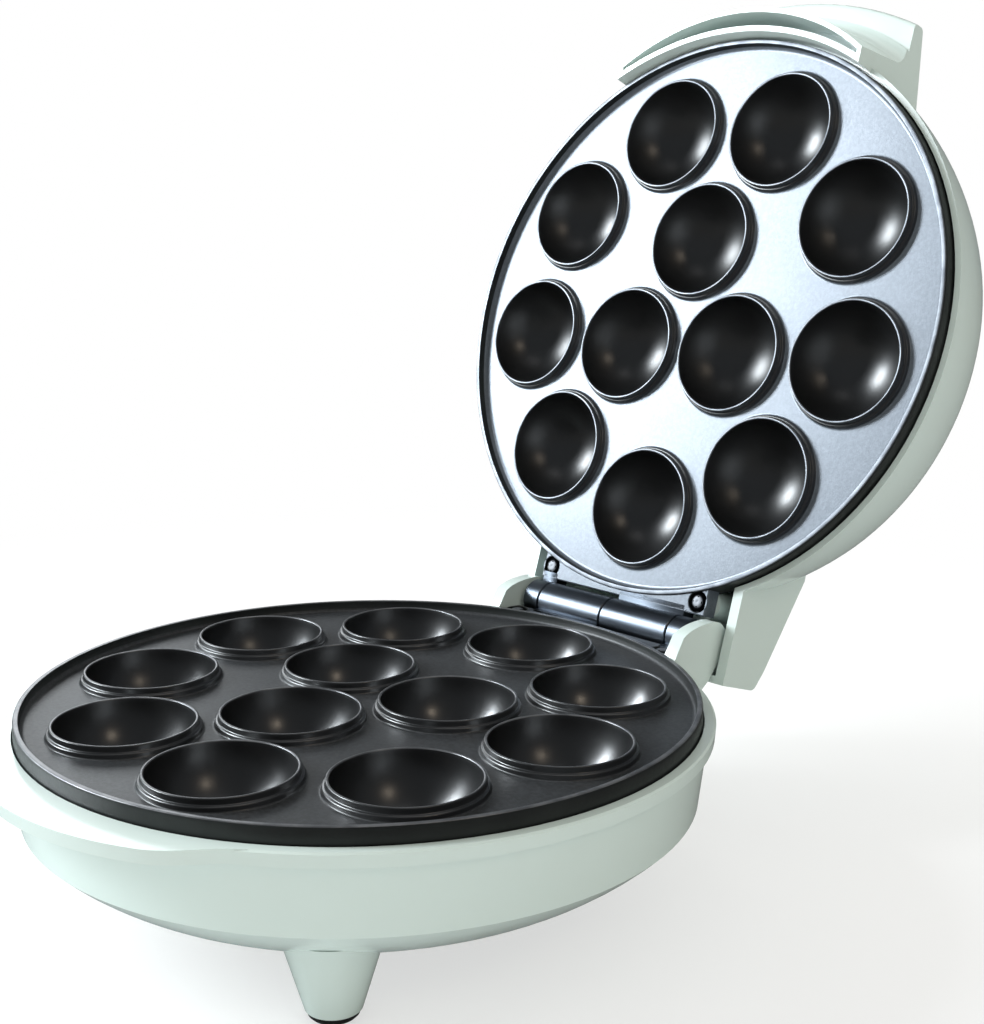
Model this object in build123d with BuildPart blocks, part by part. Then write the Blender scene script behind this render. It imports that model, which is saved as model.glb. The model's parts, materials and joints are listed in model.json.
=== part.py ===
"""A round countertop cake pop maker, standing open.

Two cast grill plates, each with a ring of outer cups around three inner ones, face each other in
moulded housings. An alternating-knuckle hinge at the back joins them, and the lid leans back past
the vertical on a stop. Lengths are in millimetres. Every piece is drawn with the lower plate's cup
rims at height 0 and its axis on Z; a lid piece is drawn the same way up, then mirrored in the
parting plane and swung open. At the end the whole machine is stood on the floor.
"""
import os
from math import asin, atan2, cos, hypot, pi, radians, sin, sqrt, tan

from build123d import *

os.makedirs("parts", exist_ok=True)

# Cups
OUTER_CUPS = 9
INNER_CUPS = 3
CUP_RADIUS = 19.0
CUP_WALL = 2.2
RING_HEIGHT = 3.3
RING_TOP_WALL = 0.85
RING_DRAFT = 0.1
RING_LEDGE_DEPTH = 1.7
RING_BASE_WALL = 1.7
OUTER_GAP = 8.5
INNER_GAP = 6.3

# Grill plates
RIM_MARGIN = 9.8
PLATE_WEB = 3.0
DAM_WIDTH = 1.6
DAM_STEP = 1.3
DAM_COVE = 3.2
DAM_EDGE = 0.5
SKIRT_DEPTH = 9.0
SKIRT_WALL = 3.0
PARTING = 0.8

# Hinge
HINGE_CLEAR = 3.0
BARREL_RADIUS = 6.6
BARREL_HALF = 35.4
KNUCKLE_SPLIT = 28.3
KNUCKLE_GAP = 0.4
PIN_RADIUS = 2.5
PIN_CLEARANCE = 0.05
PIN_STUB = 0.4
PIN_END_GAP = 0.4
WASHER_RADIUS = 5.0
WASHER_THICKNESS = 0.8
OPEN_ANGLE = 108.3

# Lugs that carry the knuckles
LUG_OVERHANG = 0.6
LUG_GAP = 1.3
LUG_STEP = 0.8
LUG_THICKNESS = 5.5
LUG_SCREW_INSET = 3.6
LUG_SCREW_EDGE = 4.1

# Screws
SCREW_RADIUS = 1.5
SCREW_CLEARANCE = 0.15
SCREW_LENGTH = 12.0
HEAD_RADIUS = 3.1
HEAD_HEIGHT = 2.0
HEAD_ROOM = 0.45
CROSS_WIDTH = 0.7
CROSS_LENGTH = 3.6
CROSS_DEPTH = 0.9

# Base housing, its radii given as steps out or in from the plate's recess
WALL = 2.6
RIM_DEPTH = 4.5
RIM_GAP = 0.5
RIM_STEP = 3.2
RIM_HEIGHT = 3.9
RIM_EDGE = 0.5
RIM_DRAFT = 0.3
RIM_UNDERCUT = 0.7
BOWL_TOP_STEP = 1.1
BOWL_FOOT_STEP = 1.3
BOWL_FOOT_DEPTH = 27.2
BEVEL_RADIUS = 70.0
BEVEL_RUN = 28.0
BOWL_DEPTH = 44.3
LEDGE_WIDTH = 3.8
LEDGE_HEIGHT = 3.0
SEAT_GAP = 0.05

# Base lip under the lid's handle
LIP_STEP = 8.7
LIP_ARC = 84.0
LIP_HALF = 42.0
LIP_ROOT_HALF = 59.0
LIP_DRAFT = 12.0

# Hinge cheeks, the shelves between them and the stop ribs
CHEEK_WIDTH = 4.5
CHEEK_RISE = 6.9
CHEEK_NOSE = 8.3
CHEEK_HEEL = 11.5
CHEEK_DROP = 16.0
CHEEK_FRONT = 20.4
CHEEK_RAMP = 3.8
CHEEK_BROW = 4.9
SHELF_BOTTOM = 15.5
SHELF_WIDTH = 17.5
SHELF_FRONT_STEP = 8.7
STOP_INSET = 3.0
STOP_WIDTH = 8.0
STOP_GAP = 0.15
STOP_LENGTH = 3.0

# Legs and feet
FLOOR_DEPTH = 58.0
LEG_INSET = 23.8
LEG_ANGLE = 45.0
REAR_LEG_X = 33.0
REAR_LEG_INSET = 15.3
REAR_ROOT_DEPTH = 24.0
REAR_ROOT_RADIUS = 12.0
REAR_HOLLOW_RADIUS = 5.8
LEG_FOOT_RADIUS = 7.3
LEG_TAPER = 17.0
LEG_ROOT_DEPTH = 35.0
LEG_WALL = 2.4
FOOT_RADIUS = 6.5
FOOT_HEIGHT = 2.0
FOOT_CHAMFER = 0.6
STEM_RADIUS = 3.0
STEM_LENGTH = 5.0
STEM_GAP = 0.05

# Lid housing
LID_RIM_STEP = 1.9
LID_WAIST_STEP = 1.1
LID_WAIST_DEPTH = 20.5
LID_EDGE_STEP = 7.1
LID_EDGE_DEPTH = 36.9
LID_EDGE_ROUND = 2.5
LID_DEPTH = 41.6

# Lid handle
HANDLE_HALF = 51.0
SKIRT_DROP = 3.5
SKIRT_GAP = 0.5
SKIRT_FLARE = 1.0
SKIRT_SKIN = 2.4
GRIP_ARC = 84.0
GRIP_STEP = 9.3
GRIP_FLARE = 2.2
GRIP_WALL = 1.5
GRIP_FILLET = 5.0
BEAK_STEP = 22.3
BEAK_UNDER = 21.6
BEAK_DROOP = 1.6
BEAK_TIP = 28.4
BEAK_ROUND = 1.8
POCKET_DEPTH = 18.0

# Lid tail
TAIL_SIDE_GAP = 1.3
TAIL_SIDE_WALL = 3.5
TAIL_WALL = 2.4
TAIL_OVERHANG = 11.8
TAIL_BACK_DEPTH = 21.5
TAIL_SHOULDER_STEP = 6.7
TAIL_SHOULDER_DEPTH = 25.0
TAIL_ROUND = 3.0
TAIL_FRONT = 17.3

LUG_BOSS_RADIUS = 5.0
LUG_BOSS_LENGTH = 23.5

# Heating
RIB_WIDTH = 5.0
RIB_DEPTH = 17.0
TUBE_RADIUS = 3.25
TUBE_SWELL = 0.1
TUBE_ROOM = 1.2
TUBE_OPENING = 40.0
TAIL_PIN_DROP = 9.0
PIN_TIP_RADIUS = 1.5
PIN_TIP_LENGTH = 5.0
SHIELD_GAP = 8.8
SHIELD_THICKNESS = 0.6
SHIELD_DEPTH = 26.0
SHIELD_WALL = 11.0
SHIELD_BEND = 3.0
POST_RADIUS = 4.2
POST_FOOT_RADIUS = 6.0
COUNTERBORE_RADIUS = 4.0
COUNTERBORE_DEPTH = 6.0
THERMOSTAT_RADIUS = 8.0
THERMOSTAT_HEIGHT = 5.0
THERMOSTAT_BOSS = 7.0
THERMOSTAT_HOLE = 10.5
THERMOSTAT_BODY = 5.0
BLADE_SPREAD = 4.0
BLADE_THICKNESS = 0.8
BLADE_WIDTH = 4.8
BLADE_LENGTH = 4.0
BITE = 9.0
ROOT = 0.5

# Electrics in the base
INLET_DEPTH = 21.4
GLAND_RADIUS = 4.6
GLAND_CLEARANCE = 0.1
GLAND_FLANGE = 5.8
GLAND_LIP = 1.4
GLAND_BORE = 3.3
BLOCK_LENGTH = 26.0
BLOCK_WIDTH = 12.0
BLOCK_HEIGHT = 9.0
BLOCK_WELL = 1.8
BLOCK_BORE = 1.6
BLOCK_INSET = 40.3
FUSE_RADIUS = 2.0
FUSE_LENGTH = 11.0
FUSE_LEAD = 6.0
FUSE_Y = 24.0

# Pilot lights in the lid
LENS_X = 9.0
LENS_INSET = 41.3
LENS_RADIUS = 3.4
LENS_FLANGE = 4.2
LENS_CLEARANCE = 0.1
LENS_DOME = 1.6
LENS_RISE = 3.2
LENS_LENGTH = 6.0
LENS_SEAT = 2.8

# Cup circles, plate and hinge
OUTER_CIRCLE = (2 * CUP_RADIUS + OUTER_GAP) / 2 / sin(pi / OUTER_CUPS)
INNER_CIRCLE = (2 * CUP_RADIUS + INNER_GAP) / 2 / sin(pi / INNER_CUPS)
PLATE_RADIUS = OUTER_CIRCLE + CUP_RADIUS + RIM_MARGIN
HINGE_SETBACK = PLATE_RADIUS + BARREL_RADIUS + HINGE_CLEAR
HINGE_LEVEL = PARTING / 2
HINGE_LINE = Axis((0, HINGE_SETBACK, HINGE_LEVEL), (1, 0, 0))
WEB_TOP = -RING_HEIGHT
WEB_BOTTOM = WEB_TOP - PLATE_WEB
LUG_HALF = BARREL_HALF + LUG_OVERHANG
LUG_TOP = -LUG_STEP
LUG_BOTTOM = LUG_TOP - LUG_THICKNESS
LUG_REACH = HINGE_SETBACK - BARREL_RADIUS - LUG_GAP
LUG_SCREW_X = LUG_HALF - LUG_SCREW_INSET
LUG_SCREW_Y = LUG_REACH - LUG_SCREW_EDGE
RIB_CIRCLE = (OUTER_CIRCLE + INNER_CIRCLE) / 2
POST_CIRCLE = OUTER_CIRCLE
BORE_RADIUS = PIN_RADIUS + PIN_CLEARANCE
HOLE_RADIUS = SCREW_RADIUS + SCREW_CLEARANCE

# Radii and levels of the two housings
RECESS_RADIUS = PLATE_RADIUS + RIM_GAP
SEAT_LEVEL = -SKIRT_DEPTH - SEAT_GAP
SHIELD_UNDER = -SHIELD_DEPTH - SHIELD_THICKNESS
SHIELD_RADIUS = RECESS_RADIUS - SHIELD_GAP
RIM_RADIUS = RECESS_RADIUS + RIM_STEP
RIM_FOOT = -RIM_DEPTH - RIM_HEIGHT
BOWL_TOP_RADIUS = RECESS_RADIUS + BOWL_TOP_STEP
BOWL_FOOT_RADIUS = RECESS_RADIUS - BOWL_FOOT_STEP
FLAT_RADIUS = BOWL_FOOT_RADIUS - BEVEL_RUN
LIP_REACH = RIM_RADIUS + LIP_STEP
LIP_SWELL = RIM_HEIGHT * tan(radians(LIP_DRAFT))
LIP_FLUSH = RIM_RADIUS - RIM_DRAFT - LIP_SWELL
SHELF_FRONT = RECESS_RADIUS - SHELF_FRONT_STEP
CHEEK_INNER = BARREL_HALF + WASHER_THICKNESS + PIN_STUB + PIN_END_GAP
CHEEK_OUTER = CHEEK_INNER + CHEEK_WIDTH
SHELF_INNER = CHEEK_OUTER - SHELF_WIDTH
STOP_OUTER = CHEEK_INNER - STOP_INSET
LEG_CIRCLE = RECESS_RADIUS - LEG_INSET
FRONT_LEG = LEG_CIRCLE * cos(radians(LEG_ANGLE))
REAR_LEG_Y = RECESS_RADIUS - REAR_LEG_INSET
LEG_FOOT_DEPTH = FLOOR_DEPTH - FOOT_HEIGHT
LID_RIM_RADIUS = RECESS_RADIUS + LID_RIM_STEP
LID_WAIST_RADIUS = RECESS_RADIUS - LID_WAIST_STEP
LID_EDGE_RADIUS = RECESS_RADIUS - LID_EDGE_STEP
LID_ROOF = LID_DEPTH - LENS_SEAT
SKIRT_INNER = RECESS_RADIUS + SKIRT_GAP
SKIRT_OUTER = SKIRT_INNER + SKIRT_SKIN
GRIP_REACH = RECESS_RADIUS + GRIP_STEP
GRIP_CENTRE = GRIP_REACH - GRIP_ARC
BEAK_RADIUS = RECESS_RADIUS + BEAK_STEP
TAIL_HALF = CHEEK_OUTER + TAIL_SIDE_GAP + TAIL_SIDE_WALL
TAIL_BACK = HINGE_SETBACK + TAIL_OVERHANG
TAIL_SHOULDER = TAIL_BACK - TAIL_SHOULDER_STEP
TAIL_RIDGE = RECESS_RADIUS - TAIL_FRONT
STOP_NEAR = TAIL_OVERHANG - TAIL_WALL
BLOCK_Y = RECESS_RADIUS - BLOCK_INSET
LENS_Y = LENS_INSET - RECESS_RADIUS


def post_places():
    """Where the three screw posts stand: between the outer cups, one of them at the front."""
    return PolarLocations(POST_CIRCLE, INNER_CUPS, start_angle=270)


def lug_screw_places(level):
    """The two lug screws, at the given height."""
    return Locations((-LUG_SCREW_X, LUG_SCREW_Y, level), (LUG_SCREW_X, LUG_SCREW_Y, level))


def cup_casting():
    """One cup's metal before it is hollowed: the raised ring on top and the dome below."""
    dome = CUP_RADIUS + CUP_WALL
    shoulder = sqrt(dome**2 - RING_HEIGHT**2)
    slant = atan2(-RING_HEIGHT, shoulder) / 2 - radians(45)
    with BuildPart() as casting:
        with BuildSketch(Plane.XZ):
            with BuildLine():
                Polyline(
                    (0, -dome),
                    (0, 0),
                    (CUP_RADIUS + RING_TOP_WALL, 0),
                    (CUP_RADIUS + RING_TOP_WALL + RING_DRAFT, -RING_LEDGE_DEPTH),
                    (CUP_RADIUS + RING_BASE_WALL, -RING_LEDGE_DEPTH - RING_DRAFT),
                    (shoulder, WEB_TOP),
                )
                ThreePointArc((shoulder, WEB_TOP), (dome * cos(slant), dome * sin(slant)), (0, -dome))
            make_face()
        revolve(axis=Axis.Z)
    return casting.part


def grill_plate(knuckles):
    """A cast plate: web, rim dam, skirt, cups, hinge lug and knuckles, and what its back carries."""
    casting = cup_casting()
    inner_skirt = PLATE_RADIUS - SKIRT_WALL
    with BuildPart() as plate:
        with BuildSketch(Plane.XZ):
            with BuildLine():
                Polyline(
                    (0, WEB_BOTTOM),
                    (0, WEB_TOP),
                    (PLATE_RADIUS - DAM_WIDTH - DAM_COVE, WEB_TOP),
                    (PLATE_RADIUS - DAM_WIDTH, -DAM_STEP),
                    (PLATE_RADIUS - DAM_WIDTH, 0),
                    (PLATE_RADIUS - DAM_EDGE, 0),
                    (PLATE_RADIUS, -DAM_EDGE),
                    (PLATE_RADIUS, -SKIRT_DEPTH),
                    (inner_skirt, -SKIRT_DEPTH),
                    (inner_skirt - ROOT, WEB_BOTTOM),
                    close=True,
                )
            make_face()
        revolve(axis=Axis.Z)

        # The lug stands out behind the rim, a step below it
        with BuildSketch(Plane.XY.offset(LUG_BOTTOM)):
            with Locations((0, LUG_REACH)):
                Rectangle(2 * LUG_HALF, LUG_HALF, align=(Align.CENTER, Align.MAX))
            Circle(PLATE_RADIUS - DAM_EDGE, mode=Mode.SUBTRACT)
        extrude(amount=LUG_THICKNESS)
        arm_bottom = HINGE_LEVEL - BARREL_RADIUS
        for start, end in knuckles:
            with BuildSketch(Plane.YZ.offset(start + KNUCKLE_GAP / 2)):
                with Locations((HINGE_SETBACK, HINGE_LEVEL)):
                    Circle(BARREL_RADIUS)
                with Locations((LUG_REACH - ROOT, arm_bottom)):
                    Rectangle(
                        HINGE_SETBACK - LUG_REACH + ROOT,
                        LUG_TOP - arm_bottom,
                        align=(Align.MIN, Align.MIN),
                    )
                with Locations((HINGE_SETBACK, HINGE_LEVEL)):
                    Circle(BORE_RADIUS, mode=Mode.SUBTRACT)
            extrude(amount=end - start - KNUCKLE_GAP)

        # The rib that the heating tube is staked to, the screw posts and the thermostat's boss
        with BuildSketch(Plane.XY.offset(WEB_BOTTOM + ROOT)):
            Circle(RIB_CIRCLE + RIB_WIDTH / 2)
            Circle(RIB_CIRCLE - RIB_WIDTH / 2, mode=Mode.SUBTRACT)
        extrude(amount=-RIB_DEPTH - WEB_BOTTOM - ROOT)
        with BuildSketch(Plane.XY.offset(-SHIELD_DEPTH)):
            with post_places():
                Circle(POST_RADIUS)
        extrude(amount=SHIELD_DEPTH + WEB_BOTTOM + ROOT)
        with BuildSketch(Plane.XY.offset(-SHIELD_DEPTH + THERMOSTAT_HEIGHT)):
            Circle(THERMOSTAT_BOSS)
        extrude(amount=SHIELD_DEPTH - THERMOSTAT_HEIGHT + WEB_BOTTOM + ROOT)

        with PolarLocations(OUTER_CIRCLE, OUTER_CUPS, start_angle=90):
            add(casting)
        with PolarLocations(INNER_CIRCLE, INNER_CUPS, start_angle=270):
            add(casting)
        with PolarLocations(OUTER_CIRCLE, OUTER_CUPS, start_angle=90):
            Sphere(CUP_RADIUS, mode=Mode.SUBTRACT)
        with PolarLocations(INNER_CIRCLE, INNER_CUPS, start_angle=270):
            Sphere(CUP_RADIUS, mode=Mode.SUBTRACT)

        # Screw holes: blind in the posts, counterbored through the lug
        with BuildSketch(Plane.XY.offset(-SHIELD_DEPTH)):
            with post_places():
                Circle(HOLE_RADIUS)
        extrude(amount=SCREW_LENGTH, mode=Mode.SUBTRACT)
        with lug_screw_places(LUG_TOP):
            CounterBoreHole(HOLE_RADIUS, HEAD_RADIUS + HEAD_ROOM, HEAD_HEIGHT, depth=LUG_THICKNESS)
    return plate.part


def cross_screw(length):
    """A pan-head screw with a cross recess, its head's seat at height 0 and its shank downward."""
    with BuildPart() as screw:
        Cylinder(SCREW_RADIUS, length, align=(Align.CENTER, Align.CENTER, Align.MAX))
        with BuildSketch(Plane.XZ):
            with BuildLine():
                Line((0, HEAD_HEIGHT), (0, 0))
                Line((0, 0), (HEAD_RADIUS, 0))
                Line((HEAD_RADIUS, 0), (HEAD_RADIUS, HEAD_HEIGHT * 0.4))
                Spline(
                    (HEAD_RADIUS, HEAD_HEIGHT * 0.4),
                    (HEAD_RADIUS * 0.7, HEAD_HEIGHT * 0.86),
                    (0, HEAD_HEIGHT),
                )
            make_face()
        revolve(axis=Axis.Z)
        with BuildSketch(Plane.XY.offset(HEAD_HEIGHT)):
            Rectangle(CROSS_LENGTH, CROSS_WIDTH)
            Rectangle(CROSS_WIDTH, CROSS_LENGTH)
        extrude(amount=-CROSS_DEPTH, mode=Mode.SUBTRACT)
    return screw.part


def arc_centre(start, end, radius):
    """The centre of the arc from start to end that bulges away from the axis's top."""
    middle = ((start[0] + end[0]) / 2, (start[1] + end[1]) / 2)
    along = (end[0] - start[0], end[1] - start[1])
    chord = hypot(*along)
    rise = sqrt(radius**2 - chord**2 / 4)
    return (middle[0] + along[1] / chord * rise, middle[1] - along[0] / chord * rise)


def cap_middle(edge, crown):
    """The middle of the arc from an edge point to the crown on the axis, about a centre on the axis."""
    rise = edge[1] - crown
    radius = (edge[0] ** 2 + rise**2) / (2 * rise)
    half = asin(edge[0] / radius) / 2
    return (radius * sin(half), crown + radius * (1 - cos(half)))


def bowl_section(inset):
    """Half of the bowl's section below its rim, moved inward by the given wall."""
    start = (BOWL_FOOT_RADIUS, -BOWL_FOOT_DEPTH)
    end = (FLAT_RADIUS, -BOWL_DEPTH)
    centre = arc_centre(start, end, BEVEL_RADIUS)
    shrink = (BEVEL_RADIUS - inset) / BEVEL_RADIUS
    start = tuple(c + (p - c) * shrink for p, c in zip(start, centre))
    end = tuple(c + (p - c) * shrink for p, c in zip(end, centre))
    half = sum(atan2(p[1] - centre[1], p[0] - centre[0]) for p in (start, end)) / 2
    reach = BEVEL_RADIUS - inset
    middle = (centre[0] + reach * cos(half), centre[1] + reach * sin(half))
    bottom = -BOWL_DEPTH + inset
    with BuildLine() as section:
        Line((BOWL_TOP_RADIUS - inset, RIM_FOOT), start)
        ThreePointArc(start, middle, end)
        floor_edge = [end, (end[0], bottom)] if inset else [end]
        Polyline(*floor_edge, (0, bottom), (0, RIM_FOOT), (BOWL_TOP_RADIUS - inset, RIM_FOOT))
    return section.line


def lid_section(inset):
    """Half of the lid's section: a barrelled side wall and a low dome, moved inward by a wall."""
    edge = (LID_EDGE_RADIUS - inset, -LID_EDGE_DEPTH + inset)
    crown = -LID_DEPTH + inset
    with BuildLine() as section:
        ThreePointArc(
            (LID_RIM_RADIUS - inset, -RIM_DEPTH),
            (LID_WAIST_RADIUS - inset, -LID_WAIST_DEPTH),
            edge,
        )
        ThreePointArc(edge, cap_middle(edge, crown), (0, crown))
        Polyline((0, crown), (0, -RIM_DEPTH), (LID_RIM_RADIUS - inset, -RIM_DEPTH))
    return section.line


# Plates and the knuckles that each carries
lower_plate = grill_plate([(-KNUCKLE_SPLIT, 0), (KNUCKLE_SPLIT, BARREL_HALF)])
lower_plate.label = "lower_plate"
upper_plate = grill_plate([(-BARREL_HALF, -KNUCKLE_SPLIT), (0, KNUCKLE_SPLIT)])
upper_plate.label = "upper_plate"

# Hinge pin and its two push-on washers
with BuildPart(Plane.YZ) as hinge_pin:
    with Locations((HINGE_SETBACK, HINGE_LEVEL)):
        Cylinder(PIN_RADIUS, 2 * (BARREL_HALF + WASHER_THICKNESS + PIN_STUB))
hinge_pin.part.label = "hinge_pin"


def hinge_washer(start):
    """A push-on washer that keeps the pin in, its near face at x = start."""
    with BuildPart() as washer:
        with BuildSketch(Plane.YZ.offset(start)):
            with Locations((HINGE_SETBACK, HINGE_LEVEL)):
                Circle(WASHER_RADIUS)
                Circle(BORE_RADIUS, mode=Mode.SUBTRACT)
        extrude(amount=WASHER_THICKNESS)
    return washer.part


left_washer = hinge_washer(-BARREL_HALF - WASHER_THICKNESS)
left_washer.label = "hinge_washer_left"
right_washer = hinge_washer(BARREL_HALF)
right_washer.label = "hinge_washer_right"


def leg_places(level):
    """The front pair of legs on the diagonals."""
    return Locations((-FRONT_LEG, -FRONT_LEG, level), (FRONT_LEG, -FRONT_LEG, level))


def rear_leg_places(level):
    """The rear pair, set back under the open lid's weight."""
    return Locations((-REAR_LEG_X, REAR_LEG_Y, level), (REAR_LEG_X, REAR_LEG_Y, level))


def bowl_wall(depth):
    """The bowl's outer radius at a depth on its straight side wall."""
    along = (depth + RIM_FOOT) / (BOWL_FOOT_DEPTH + RIM_FOOT)
    return BOWL_TOP_RADIUS + (BOWL_FOOT_RADIUS - BOWL_TOP_RADIUS) * along


def cheek_outline():
    """A hinge cheek's outline in the YZ plane: a front ramp, and a nose rounded about the hinge line."""
    nose = HINGE_SETBACK + CHEEK_NOSE
    ramp_foot = (HINGE_SETBACK - CHEEK_FRONT + CHEEK_RAMP, -LUG_STEP)
    ramp_top = (ramp_foot[0] + CHEEK_RAMP, CHEEK_BROW)
    crown = (HINGE_SETBACK, HINGE_LEVEL + CHEEK_RISE)
    heel = (HINGE_SETBACK, -CHEEK_HEEL)
    with BuildLine() as outline:
        Polyline(
            heel,
            (HINGE_SETBACK - BARREL_RADIUS, -CHEEK_DROP),
            (HINGE_SETBACK - CHEEK_FRONT, -CHEEK_DROP),
            (HINGE_SETBACK - CHEEK_FRONT, -RIM_DEPTH - RIM_EDGE),
            ramp_foot,
            ramp_top,
        )
        Spline(ramp_top, crown, tangents=[(1.6, 1), (1, 0)])
        Spline(crown, (nose, 0), heel, tangents=[(1, 0), (-1, -1.15)])
    return outline.line


def lip_outline(spread):
    """The lip's outline, widened by a spread: an arc in front, an S-curve into the rim on either side."""
    root = sqrt((LIP_FLUSH + spread) ** 2 - LIP_ROOT_HALF**2)
    centre = LIP_ARC - LIP_REACH
    end = sqrt((LIP_ARC + spread) ** 2 - LIP_HALF**2) - centre
    with BuildLine() as outline:
        ThreePointArc((-LIP_HALF, -end), (0, -LIP_REACH - spread), (LIP_HALF, -end))
        for side in (-1, 1):
            leave = (side * (end + centre), LIP_HALF)
            meet = (side * root, LIP_ROOT_HALF)
            Spline((side * LIP_HALF, -end), (side * LIP_ROOT_HALF, -root), tangents=[leave, meet])
        Polyline(
            (-LIP_ROOT_HALF, -root),
            (-LIP_ROOT_HALF, -LIP_ROOT_HALF),
            (LIP_ROOT_HALF, -LIP_ROOT_HALF),
            (LIP_ROOT_HALF, -root),
        )
    return outline.line


def stop_outline():
    """The stop rib's outline: its rear face lies just clear of the opened tail's lower edge."""
    back = (sin(radians(OPEN_ANGLE)), cos(radians(OPEN_ANGLE)))
    down = (cos(radians(OPEN_ANGLE)), -sin(radians(OPEN_ANGLE)))
    across = HINGE_LEVEL + RIM_DEPTH - STOP_GAP
    corners = [
        (
            HINGE_SETBACK + reach * down[0] + across * back[0],
            HINGE_LEVEL + reach * down[1] + across * back[1],
        )
        for reach in (STOP_NEAR, STOP_NEAR + STOP_LENGTH)
    ]
    with BuildLine() as outline:
        Polyline(
            (LUG_REACH - ROOT, corners[0][1]),
            corners[0],
            corners[1],
            (LUG_REACH - ROOT, -SHELF_BOTTOM + ROOT),
            close=True,
        )
    return outline.line


leg_height = LEG_FOOT_DEPTH - LEG_ROOT_DEPTH
leg_root_radius = LEG_FOOT_RADIUS + leg_height * tan(radians(LEG_TAPER))
rear_height = LEG_FOOT_DEPTH - REAR_ROOT_DEPTH
standing = (Align.CENTER, Align.CENTER, Align.MIN)

with BuildPart() as rear_legs:
    # The rear legs reach up the bowl's wall and are cut flush with it
    with rear_leg_places(-LEG_FOOT_DEPTH):
        Cone(LEG_FOOT_RADIUS, REAR_ROOT_RADIUS, rear_height, align=standing)
    with BuildSketch(Plane.XY.offset(-LEG_FOOT_DEPTH)):
        Circle(bowl_wall(REAR_ROOT_DEPTH))
    extrude(amount=rear_height, mode=Mode.INTERSECT)

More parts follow.
